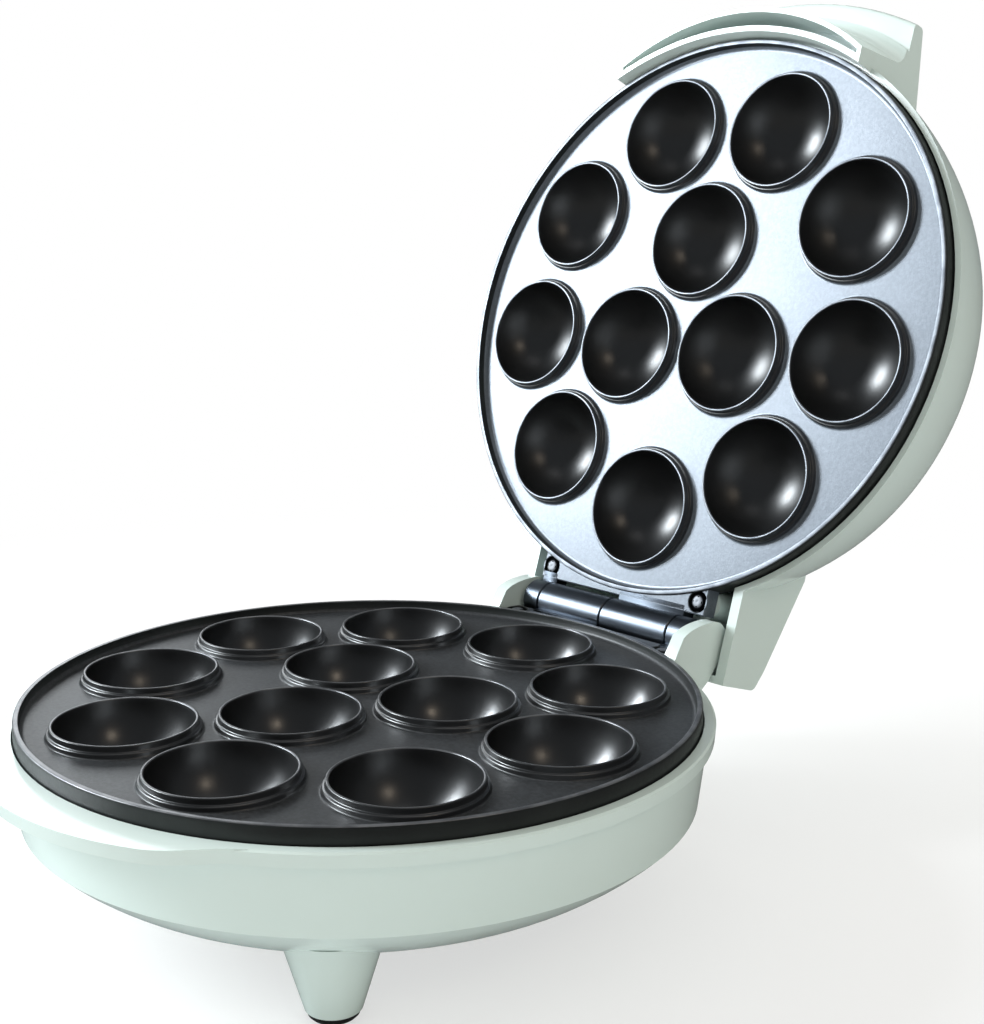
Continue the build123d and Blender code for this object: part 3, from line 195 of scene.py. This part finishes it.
def cell(here, others, edge):
    """Rays round a cup and how far each goes on the flat web: to the nearest of the halfway lines to the
    other cups and the circle of the given radius. Rays beside a corner of that outline are moved onto
    it, the corner's angle being found by halving."""
    steps = 96
    away = others - here
    half = (away**2).sum(1) / 2

    def reach(turn):
        ray = np.stack([np.cos(turn), np.sin(turn)], -1)
        facing = ray @ away.T
        far = np.where(facing > 1e-9, half / np.maximum(facing, 1e-9), np.inf)
        along = ray @ here
        rim = -along + np.sqrt(along**2 + edge**2 - here @ here)
        return np.concatenate([far, rim[:, None]], 1)

    turn = np.linspace(0, 2 * np.pi, steps, endpoint=False)
    side = reach(turn).argmin(1)
    at = np.flatnonzero(side != np.roll(side, -1))
    low, high = turn[at], turn[at] + 2 * np.pi / steps
    for _ in range(30):
        middle = (low + high) / 2
        same = reach(middle).argmin(1) == side[at]
        low, high = np.where(same, middle, low), np.where(same, high, middle)
    late = low - turn[at] > np.pi / steps
    turn[(at + late) % steps] = low - 2 * np.pi * (at + late >= steps)
    return np.stack([np.cos(turn), np.sin(turn)], -1), reach(turn).min(1)


def cup_grids(index, centres):
    """One cup and its share of the web. The face's rows go from the pole up the sphere, over the ring,
    and out on the flat; the back's rows go from the dome's pole to the web's underside and out."""
    here, others = centres[index], np.delete(centres, index, 0)
    sphere = np.radians(np.linspace(-90, -4, 26))
    bowl = np.stack([CUP * np.cos(sphere), CUP * np.sin(sphere)], -1)
    shoulder = math.sqrt(CUP_BACK**2 - RING_HIGH**2)
    lip = rounded([bowl[-1], (CUP + 0.02, 0.0), (RING_TOP, 0.0), (RING_TOP + 0.1, -RING_LEDGE),
                   (RING_FOOT, -RING_LEDGE - 0.1), (shoulder, -RING_HIGH), (shoulder + 0.8, -RING_HIGH)],
                  [0, 0.3, 0.3, 0.3, 0.35, 0.5, 0], 4)
    dome = np.radians(np.linspace(-90, -math.degrees(math.asin((RING_HIGH + WEB) / CUP_BACK)), 14))
    under = np.stack([CUP_BACK * np.cos(dome), CUP_BACK * np.sin(dome)], -1)
    grids = []
    face = np.concatenate([bowl, lip[1:]])
    for fixed, edge in ((face, PLATE - DAM - COVE / 2), (under, PLATE - SKIRT_WALL - SKIRT_DRAFT)):
        ray, reach = cell(here, others, edge)
        start = fixed[-1, 0]
        radius = np.concatenate([np.repeat(fixed[:, :1], len(ray), 1),
                                 start + (reach - start) * np.array([[0.5], [1.0]])])
        height = np.concatenate([fixed[:, 1], fixed[-1:, 1], fixed[-1:, 1]])
        flat = here + radius[..., None] * ray
        level = np.broadcast_to(height[:, None, None], radius.shape + (1,))
        grids.append(np.concatenate([flat, level], -1))
    # The four rows over the mouth take the painted highlight line; the lining ends at the ring's foot
    mouth = len(bowl)
    finish = np.full(len(grids[0]) - 1, FLAT)
    finish[:mouth + len(lip) - 5] = LINING
    finish[mouth:mouth + 4] = HIGHLIGHT_LINE
    return grids[0], finish, grids[1]


def bar_grid(outline, start, end, soft):
    """A closed outline in the YZ plane carried along X, its ends drawn in a little and capped. An
    outline that shrinks by more than its own size is a point, which closes the end."""
    to_point = 1e9
    outline = np.asarray(outline, float)
    centre = outline.mean(0)
    side = np.sign(end - start)
    rows = []
    for x, shrink in ((start, to_point), (start, soft), (start + side * soft, 0),
                      (end - side * soft, 0), (end, soft), (end, to_point)):
        gap = outline - centre
        length = np.linalg.norm(gap, axis=1, keepdims=True)
        ring = centre + gap * np.maximum(length - shrink, 0) / length
        rows.append(np.concatenate([np.full((len(outline), 1), x), ring], 1))
    return np.stack(rows)


def circle(centre, radius):
    """Points on a circle in the YZ plane."""
    turn = np.linspace(0, 2 * np.pi, 48, endpoint=False)
    return np.stack([centre[0] + radius * np.cos(turn), centre[1] + radius * np.sin(turn)], -1)


class Wire:
    """A shader socket that can be added, multiplied and mixed like a number."""

    def __init__(self, tree, socket):
        self.tree, self.socket = tree, socket

    def make(self, kind, values=None, out=0, **settings):
        """Any other node: its type, its settings first, then the values or links of its sockets."""
        node = self.tree.nodes.new(kind)
        for key, value in settings.items():
            setattr(node, key, value)
        for key, value in (values or {}).items():
            if isinstance(value, Wire):
                self.tree.links.new(value.socket, node.inputs[key])
            elif value is not None:
                node.inputs[key].default_value = value
        return Wire(self.tree, node.outputs[out])

    def maths(self, operation, other):
        return self.make("ShaderNodeMath", {0: self, 1: other}, operation=operation)

    def __add__(self, other):
        return self.maths("ADD", other)

    def __mul__(self, other):
        return self.maths("MULTIPLY", other)

    def smooth(self, low, high):
        """0 below low, 1 above high, eased between."""
        return self.make("ShaderNodeMapRange", {0: self, 1: low, 2: high}, interpolation_type="SMOOTHSTEP")

    def tint(self, first, second):
        """A colour between two by this value; each is a socket's own or a plain one."""
        ends = [value if isinstance(value, Wire) else (*value, 1) for value in (first, second)]
        return self.make("ShaderNodeMix", {0: self, 6: ends[0], 7: ends[1]}, out=2, data_type="RGBA")


def srgb(red, green, blue):
    """A colour picked as 0-255 screen values, in the linear values a shader takes."""
    value = np.array([red, green, blue]) / 255
    return tuple(np.where(value <= 0.04045, value / 12.92, ((value + 0.055) / 1.055) ** 2.4))


class Finish:
    """A Principled material whose patterns read Object coordinates."""

    def __init__(self, name, **sockets):
        self.material = bpy.data.materials.new(name)
        self.material.use_nodes = True
        self.tree = self.material.node_tree
        self.shader = self.tree.nodes["Principled BSDF"]
        start = Wire(self.tree, None)
        self.place = start.make("ShaderNodeTexCoord", out=3)
        self.set(**sockets)

    def set(self, **sockets):
        for key, value in sockets.items():
            socket = self.shader.inputs[key.replace("_", " ")]
            if isinstance(value, Wire):
                self.tree.links.new(value.socket, socket)
            else:
                socket.default_value = value
        return self

    def noise(self, scale, detail=3.0, rough=0.5, stretch=None):
        where = self.place
        if stretch:
            where = self.place.make("ShaderNodeMapping", {0: self.place, 3: stretch})
        return self.place.make("ShaderNodeTexNoise", {"Vector": where, "Scale": scale, "Detail": detail,
                                                      "Roughness": rough})

    def bump(self, height, distance):
        return self.set(Normal=self.place.make("ShaderNodeBump", {"Height": height, "Distance": distance,
                                                                  "Strength": 1.0}))


def mint_plastic():
    """Glossy moulded plastic: a hint of flow mottling, faint orange peel and handling haze."""
    f = Finish("mint_plastic", IOR=1.5)
    broad, fine = f.noise(9, 3), f.noise(420, 2)
    haze = f.noise(35, 4)
    f.set(Base_Color=broad.smooth(0.3, 0.7).tint(srgb(208, 221, 217), srgb(211, 224, 220)),
          Roughness=haze.smooth(0.3, 0.75) * 0.07 + 0.2, Coat_Weight=0.25, Coat_Roughness=0.08)
    return f.bump(fine, 0.00001).material


def coated_web(name, dark, light, rough, metal):
    """A plate's flat coating: fine pitted grain over broad cloudy patches."""
    f = Finish(name)
    grain, cloud = f.noise(1100, 3, 0.7), f.noise(26, 4)
    speck = f.noise(800, 3, 0.7).smooth(0.35, 0.68)
    mask = speck * 0.7 + cloud.smooth(0.3, 0.7) * 0.3
    f.set(Base_Color=mask.tint(dark, light), Roughness=grain * 0.12 + rough, Metallic=metal)
    return f.bump(grain, 0.00002).material


def cup_enamel(name, colour, rough, index):
    """The cups' non-stick lining: near black and smooth, with a faint wiped texture."""
    f = Finish(name, Specular_IOR_Level=1.0, IOR=index)
    wipe, fine = f.noise(60, 3, 0.5), f.noise(700, 2)
    f.set(Base_Color=wipe.tint(colour, tuple(c * 1.5 for c in colour)),
          Roughness=wipe.smooth(0.3, 0.7) * 0.06 + rough)
    return f.bump(fine, 0.00001).material


def highlight_line_finish(name, dark, light, rough):
    """A painted highlight: the thin lighter, more metallic line along the cups' mouths and the dam's top, mottled
    by noise.
    """
    f = Finish(name, Metallic=0.7)
    line_mottle = f.noise(140, 3)
    f.set(Base_Color=line_mottle.smooth(0.3, 0.7).tint(dark, light), Roughness=line_mottle * 0.1 + rough)
    return f.bump(line_mottle, 0.00002).material


def bright_steel(name, dark, light, rough, stretch):
    """Drawn or turned steel with fine streaks along one axis."""
    f = Finish(name, Metallic=1.0)
    streak, smear = f.noise(700, 3, 0.6, stretch), f.noise(50, 2)
    f.set(Base_Color=streak.tint(dark, light), Roughness=smear * 0.12 + streak * 0.08 + rough)
    return f.bump(streak, 0.00001).material


def screw_steel(name, dark, light, rough):
    """Plated screws with painted shade: streaked steel on the head's top, painted near black in its cross and down
    its side.
    """
    f = Finish(name, Metallic=1.0)
    streak, smear = f.noise(700, 3, 0.6), f.noise(50, 2)
    # Painted shade: near black by depth below the head's top, in the cross and down the side
    recess_shade = f.place.make("ShaderNodeAttribute", out=2, attribute_name="recess_shade").smooth(0.05, 0.4)
    top = streak.tint(dark, light)
    f.set(Base_Color=recess_shade.tint(top, (0.006, 0.006, 0.007)), Roughness=smear * 0.12 + streak * 0.08 + rough)
    return f.bump(streak, 0.00001).material


def moulded(name, dark, light, rough):
    """Matte moulded rubber or plastic with a fine eroded grain."""
    f = Finish(name)
    fine, dust = f.noise(600, 3), f.noise(45, 4)
    f.set(Base_Color=dust.smooth(0.35, 0.75).tint(dark, light), Roughness=fine * 0.1 + rough)
    return f.bump(fine, 0.00005).material


def pilot_lens(name, dark, light):
    """Tinted translucent plastic with faint moulded facets."""
    f = Finish(name, Transmission_Weight=0.25, IOR=1.49)
    facet = f.place.make("ShaderNodeTexVoronoi", {"Vector": f.place, "Scale": 700})
    f.set(Base_Color=facet.smooth(0, 0.8).tint(light, dark), Roughness=facet * 0.06 + 0.08)
    return f.bump(facet, 0.00005).material


MINT = mint_plastic()
LOWER_WEB = coated_web("lower_coating", srgb(42, 43, 44), srgb(62, 64, 67), 0.36, 0.1)
# The upper web is the lower's coating painted lighter and bluer, with more metal: painted sheen
UPPER_WEB_SHEEN = coated_web("upper_coating_painted_sheen", srgb(96, 103, 112), srgb(109, 116, 125), 0.25, 0.28)
LOWER_CUP = cup_enamel("lower_cup_lining", srgb(12, 12, 13), 0.28, 1.6)
UPPER_CUP = cup_enamel("upper_cup_lining", srgb(11, 11, 12), 0.34, 1.7)
# Lighter, more metallic lines along the cups' mouths and the dams' tops: painted highlight
LOWER_HIGHLIGHT_LINE = highlight_line_finish("lower_painted_highlight_line", srgb(96, 97, 100), srgb(130, 130, 132), 0.28)
UPPER_HIGHLIGHT_LINE = highlight_line_finish("upper_painted_highlight_line", srgb(84, 88, 94), srgb(124, 128, 134), 0.34)
# A near-black finish for the plates' walls, backs and screw seats: painted shade
SHADOWED = moulded("rim_wall_painted_shade", srgb(22, 25, 25), srgb(34, 38, 37), 0.4)
SCREW = screw_steel("screw_steel", srgb(128, 130, 135), srgb(152, 154, 158), 0.5)
STEEL = bright_steel("bright_steel", srgb(170, 172, 176), srgb(226, 227, 230), 0.14, (1, 1, 1))
BARREL = bright_steel("barrel", srgb(72, 78, 86), srgb(102, 108, 116), 0.22, (0.06, 1, 1))
ELEMENT = bright_steel("element", srgb(92, 86, 80), srgb(128, 120, 112), 0.4, (1, 1, 1))
SHEET_STEEL = bright_steel("sheet_steel", srgb(176, 178, 180), srgb(205, 207, 208), 0.28, (1, 0.1, 1))
SHEET_ALUMINIUM = bright_steel("sheet_aluminium", srgb(196, 198, 200), srgb(222, 223, 225), 0.3, (1, 0.1, 1))
PHENOLIC = moulded("phenolic", srgb(46, 38, 32), srgb(62, 52, 44), 0.45)
BLOCK = moulded("block_plastic", srgb(222, 220, 208), srgb(232, 230, 220), 0.4)
RUBBER = moulded("black_rubber", srgb(24, 24, 25), srgb(40, 40, 41), 0.6)
RED = pilot_lens("red_lens", srgb(150, 12, 10), srgb(214, 40, 30))
GREEN = pilot_lens("green_lens", srgb(16, 110, 34), srgb(50, 176, 70))


def dress(node, name, material, body):
    """A welded, smooth copy of a solid in its own finish, standing for it."""
    obj = NODES[node].copy()
    obj.data = NODES[node].data.copy()
    for key in list(obj.keys()):
        del obj[key]
    obj.name = obj.data.name = name
    obj.parent = None
    bpy.context.scene.collection.objects.link(obj)
    obj.data.materials.clear()
    obj.data.materials.append(material)
    for attribute in [a.name for a in obj.data.attributes if a.name == "custom_normal"]:
        obj.data.attributes.remove(obj.data.attributes[attribute])
    weld(obj, SOLID_CREASE)
    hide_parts(node)
    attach(obj, body)
    return obj


def mark_recess_shade(obj):
    """Gives each point of a screw its depth below the head's top, 0 there and 1 at the cross's floor: the mask of
    the screws' painted shade. The axis is the direction in which the points spread furthest; the head is the wider
    end."""
    points = np.empty(len(obj.data.vertices) * 3)
    obj.data.vertices.foreach_get("co", points)
    points = points.reshape(-1, 3)
    axis = np.linalg.svd(points - points.mean(0), full_matrices=False)[2][0]
    gap = points - (points.max(0) + points.min(0)) / 2
    along = gap @ axis
    wide = np.linalg.norm(gap - along[:, None] * axis, axis=1)
    along *= np.sign(along[wide.argmax()])
    depth = np.clip((along.max() - along) / (CROSS_DEEP * MM), 0, 1)
    obj.data.attributes.new("recess_shade", "FLOAT", "POINT").data.foreach_set("value", depth)


def rim(skin):
    """The cove and the dam round the web, the skirt outside it and the skirt's inner wall."""
    dam = rounded([(PLATE - DAM - COVE, -RING_HIGH - 0.06), (PLATE - DAM - 0.4, -RING_HIGH - 0.06),
                   (PLATE - DAM, -DAM_STEP), (PLATE - DAM, 0),
                   (PLATE - 0.2, 0), (PLATE, -0.6), (PLATE, -SKIRT_DEEP),
                   (PLATE - SKIRT_WALL, -SKIRT_DEEP),
                   (PLATE - SKIRT_WALL - SKIRT_DRAFT, -RING_HIGH - WEB)],
                  [0, 2.0, 0.3, 0.25, 0.3, 0.4, 0.3, 0.3, 0], 6)
    # Rows this near the dam's top take the painted highlight line, the rest the near-black painted shade; the
    # first six, the cove, are coated as the web is
    near_top = -0.12
    finish = np.where(dam[:-1, 1] > near_top, HIGHLIGHT_LINE, BACK)
    finish[:6] = FLAT
    skin.add(lathe(dam, 192), finish)


def underside(skin):
    """Under the web: a rib's ring between the two circles of cups, three bosses and the middle one."""
    ring = (OUTER + INNER) / 2
    rib = [(ring - RIB_HALF, INSIDE_WEB), (ring - RIB_HALF, RIB_FOOT), (ring + RIB_HALF, RIB_FOOT),
           (ring + RIB_HALF, INSIDE_WEB)]
    skin.add(lathe(rib, 96), BACK, flip=True)
    for turn in np.radians([270, 30, 150]):
        spot = (OUTER * math.cos(turn), OUTER * math.sin(turn))
        boss = [(BOSS, INSIDE_WEB), (BOSS, BOSS_FOOT), (BOSS_BORE, BOSS_FOOT),
                (BOSS_BORE, BORE_END), (0, BORE_END)]
        skin.add(lathe(boss, 32, spot), BACK)
    middle = [(CENTRE_BOSS, INSIDE_WEB), (CENTRE_BOSS, CENTRE_FOOT), (0, CENTRE_FOOT)]
    skin.add(lathe(middle, 32), BACK)


def raised(points, height):
    """Flat points, all at one height."""
    return np.concatenate([points, np.full((len(points), 1), height)], 1)


def lug(skin):
    """The lug behind the rim: a flat tongue whose near edge follows the rim's circle, with soft edges
    and two counterbored screw seats. Each end's top is a ring of quads from its seat's circle out to
    the end's outline, point for point at the same angle; the middle's top is a plain grid."""
    soft, inner, split = 0.35, PLATE - 0.5, SCREW_X - 3.9
    far = LUG_REACH - soft

    def near(x):
        return np.sqrt(inner**2 - np.asarray(x, float) ** 2)

    count = 16
    for side in (-1, 1):
        run = np.linspace(0, 1, count, endpoint=False)
        x_out, x_in = LUG_HALF - soft, split
        back = x_in + (x_out - x_in) * run
        edge = np.concatenate([
            np.stack([np.full(count, x_out), near(x_out) + (far - near(x_out)) * run], -1),
            np.stack([x_out + (x_in - x_out) * run, np.full(count, far)], -1),
            np.stack([np.full(count, x_in), far + (near(x_in) - far) * run], -1),
            np.stack([back, near(back)], -1)])
        seat = np.array([SCREW_X, LUG_REACH - SEAT_INSET])
        ray = edge - seat
        ray /= np.linalg.norm(ray, axis=1, keepdims=True)
        rows = [(0.0, -SEAT_DEEP), (SEAT_RADIUS, -SEAT_DEEP), (SEAT_RADIUS, -0.2), (SEAT_RADIUS + 0.2, 0.0)]
        grid = [raised(seat + radius * ray, LUG_TOP + height) for radius, height in rows]
        grid.append(raised(edge, LUG_TOP))
        # The seat's floor and wall take the near-black finish, painted shade in the counterbore
        skin.add(np.stack(grid) * [side, 1, 1], [BACK, BACK, FLAT, FLAT], flip=side > 0)
    x = np.linspace(-split, split, 49)
    span = [raised(np.stack([x, y], -1), LUG_TOP) for y in (near(x), np.full(len(x), far))]
    skin.add(np.stack(span), FLAT, closed=False, flip=True)
    half = LUG_HALF - soft
    walk = np.array([(-half, float(near(half))), (-half, far), (half, far), (half, float(near(half)))])
    out = np.array([(-soft, 0), (-soft, soft), (soft, soft), (soft, 0)])
    wall = [(walk, LUG_TOP), (walk + out, LUG_TOP - soft), (walk + out, LUG_UNDER),
            (walk * [1, 0] + [0, float(near(0)) - 3], LUG_UNDER)]
    skin.add(np.stack([raised(flat, height) for flat, height in wall]), FLAT, closed=False)


def knuckle(skin, start, end):
    """One knuckle's barrel round the hinge line, and its arm from the lug."""
    barrel = circle((SETBACK, BARREL_RISE), BARREL_SIZE)
    skin.add(bar_grid(barrel, start + 0.2, end - 0.2, 0.3), KNUCKLE, flip=True)
    arm = [(LUG_REACH - 2, LUG_UNDER + 0.1), (SETBACK, LUG_UNDER + 0.1), (SETBACK, LUG_TOP - 0.2),
           (LUG_REACH - 0.5, LUG_TOP), (LUG_REACH - 2, LUG_TOP)]
    skin.add(bar_grid(arm, start + 0.25, end - 0.25, 0.2), KNUCKLE)


def plate(name, node, knuckles, materials, place, mirrored, body):
    """A cast plate: cups and web, rim dam and skirt, its back, the lug, and the knuckles."""
    skin = Surface()
    centres = cup_centres()
    for index in range(len(centres)):
        face, finish, back = cup_grids(index, centres)
        skin.add(face, finish, flip=True)
        skin.add(back, BACK)
    rim(skin)
    underside(skin)
    lug(skin)
    for start, end in knuckles:
        knuckle(skin, start, end)
    obj = skin.piece(name, materials, place, mirrored)
    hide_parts(node)
    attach(obj, body)


print("scene: building pieces")
plate("lower_grill", "lower_plate", [(-KNUCKLE_SPLIT, 0), (KNUCKLE_SPLIT, BARREL_END)],
      [LOWER_WEB, LOWER_CUP, LOWER_HIGHLIGHT_LINE, SHADOWED, BARREL], in_base, False, "base")
plate("upper_grill", "upper_plate", [(-BARREL_END, -KNUCKLE_SPLIT), (0, KNUCKLE_SPLIT)],
      [UPPER_WEB_SHEEN, UPPER_CUP, UPPER_HIGHLIGHT_LINE, SHADOWED, BARREL], in_lid, True, "lid")
dress("base_housing", "base_shell", MINT, "base")
dress("lid_housing", "lid_shell", MINT, "lid")
finishes = {"hinge_pin": STEEL, "hinge_washer_left": STEEL, "hinge_washer_right": STEEL,
            "lower_heater": ELEMENT, "lower_shield": SHEET_STEEL, "lower_thermostat": PHENOLIC,
            "thermal_fuse": STEEL, "terminal_block": BLOCK, "lead_gland": RUBBER,
            "upper_heater": ELEMENT, "upper_shield": SHEET_ALUMINIUM, "upper_thermostat": PHENOLIC,
            "power_lens": RED, "ready_lens": GREEN}
for node in NODES:
    if node.startswith("foot_"):
        finishes[node] = RUBBER
    elif "screw" in node:
        finishes[node] = SCREW
bodies = frame["record"]["behaviour"]["bodies"]
for node, material in finishes.items():
    body = next(b for b, members in bodies.items() if node in members)
    piece = dress(node, node + "_finished", material, body)
    # The screws get the depth mask for their painted shade
    if material == SCREW:
        mark_recess_shade(piece)


def studio():
    """A white surround that lights softly, a tall key and a low fill from the front left, two weak
    lamps above and behind, and a small warm one at the right for the glint in the lower cups. The
    surround is white to the camera and through the lenses, dimmer as a light and dark in reflections."""
    world = bpy.data.worlds.new("studio")
    bpy.context.scene.world = world
    world.use_nodes = True
    tree = world.node_tree
    sky = tree.nodes["Background"]
    wire = Wire(tree, None)
    path = wire.make("ShaderNodeLightPath").socket.node
    seen = Wire(tree, path.outputs["Is Camera Ray"]) + Wire(tree, path.outputs["Is Transmission Ray"])
    mirror = Wire(tree, path.outputs["Is Glossy Ray"])
    direct = seen.maths("MINIMUM", 1.0)
    shade = mirror.tint((0.63, 0.63, 0.585), (0.12, 0.13, 0.14))
    tree.links.new(direct.tint(shade, (1, 1, 1)).socket, sky.inputs["Color"])
    for name, spot, size, power, tone in (
            ("key", (-1.38, -1.22, 1.04), (0.42, 1.0), 46, (0.89, 0.955, 1.0)),
            ("fill", (-1.75, -0.9, 0.55), (1.1, 0.9), 22, (0.86, 0.95, 1.0)),
            ("top", (0.1, 0.2, 1.8), (1.2, 1.2), 3, (1, 1, 1)),
            ("side", (-1.5, 0.5, 0.7), (0.6, 0.6), 4, (0.92, 0.97, 1.0)),
            ("warm", (1.18, -0.14, 1.07), (0.16, 0.16), 0.9, (1.0, 0.84, 0.66))):
        light = bpy.data.lights.new(name, "AREA")
        light.shape = "RECTANGLE"
        light.size, light.size_y = size
        light.energy, light.color = power, tone
        lamp = bpy.data.objects.new(name, light)
        lamp.location = spot
        lamp.rotation_euler = (Vector((0, 0, 0.1)) - Vector(spot)).to_track_quat("-Z", "Y").to_euler()
        bpy.context.scene.collection.objects.link(lamp)


def floor():
    """A wide pale floor that shows white to the camera where no shadow falls, and dark in
    reflections."""
    mesh = bpy.data.meshes.new("floor")
    side = 6.0
    level = -0.0004
    mesh.from_pydata([(-side, -side, level), (side, -side, level), (side, side, level),
                      (-side, side, level)], [], [(0, 1, 2, 3)])
    obj = bpy.data.objects.new("floor", mesh)
    bpy.context.scene.collection.objects.link(obj)
    f = Finish("floor_white", Base_Color=(0.9, 0.9, 0.9, 1), Roughness=0.9, Specular_IOR_Level=0.0)
    path = f.place.make("ShaderNodeLightPath")
    mix = f.tree.nodes.new("ShaderNodeMixShader")
    away = f.place.make("ShaderNodeVectorMath", {0: f.place}, out=1, operation="LENGTH")
    shine = Wire(f.tree, path.socket.node.outputs["Is Glossy Ray"])
    glow = path.make("ShaderNodeEmission", {0: shine.tint((1, 1, 1), (0.08, 0.08, 0.08)), 1: 1.0})
    f.tree.links.new((path * (away.smooth(0.1, 0.5) * 0.4 + 0.6) + shine * 0.95).socket, mix.inputs[0])
    f.tree.links.new(f.shader.outputs[0], mix.inputs[1])
    f.tree.links.new(glow.socket, mix.inputs[2])
    f.tree.links.new(mix.outputs[0], f.tree.nodes["Material Output"].inputs[0])
    mesh.materials.append(f.material)


def camera():
    """The photograph's view, fitted to it: from the front right, a little above the lower plate. Its
    place is in millimetres about that plate's axis."""
    place = np.array([329.7, -264.4, 140.9])
    data = bpy.data.cameras.new("photo_view")
    data.lens, data.sensor_width = 53.512, 36.0
    data.shift_x, data.shift_y = 0.01633, -0.08773
    turn, rise = math.radians(46.896), math.radians(8.558)
    back = Vector((math.sin(turn) * math.cos(rise), -math.cos(turn) * math.cos(rise), math.sin(rise)))
    obj = bpy.data.objects.new("photo_view", data)
    obj.rotation_mode = "QUATERNION"
    obj.rotation_quaternion = (-back).to_track_quat("-Z", "Y")
    obj.location = in_base(place)
    bpy.context.scene.collection.objects.link(obj)
    bpy.context.scene.camera = obj


studio()
floor()
camera()
bpy.context.scene.view_settings.view_transform = "Standard"
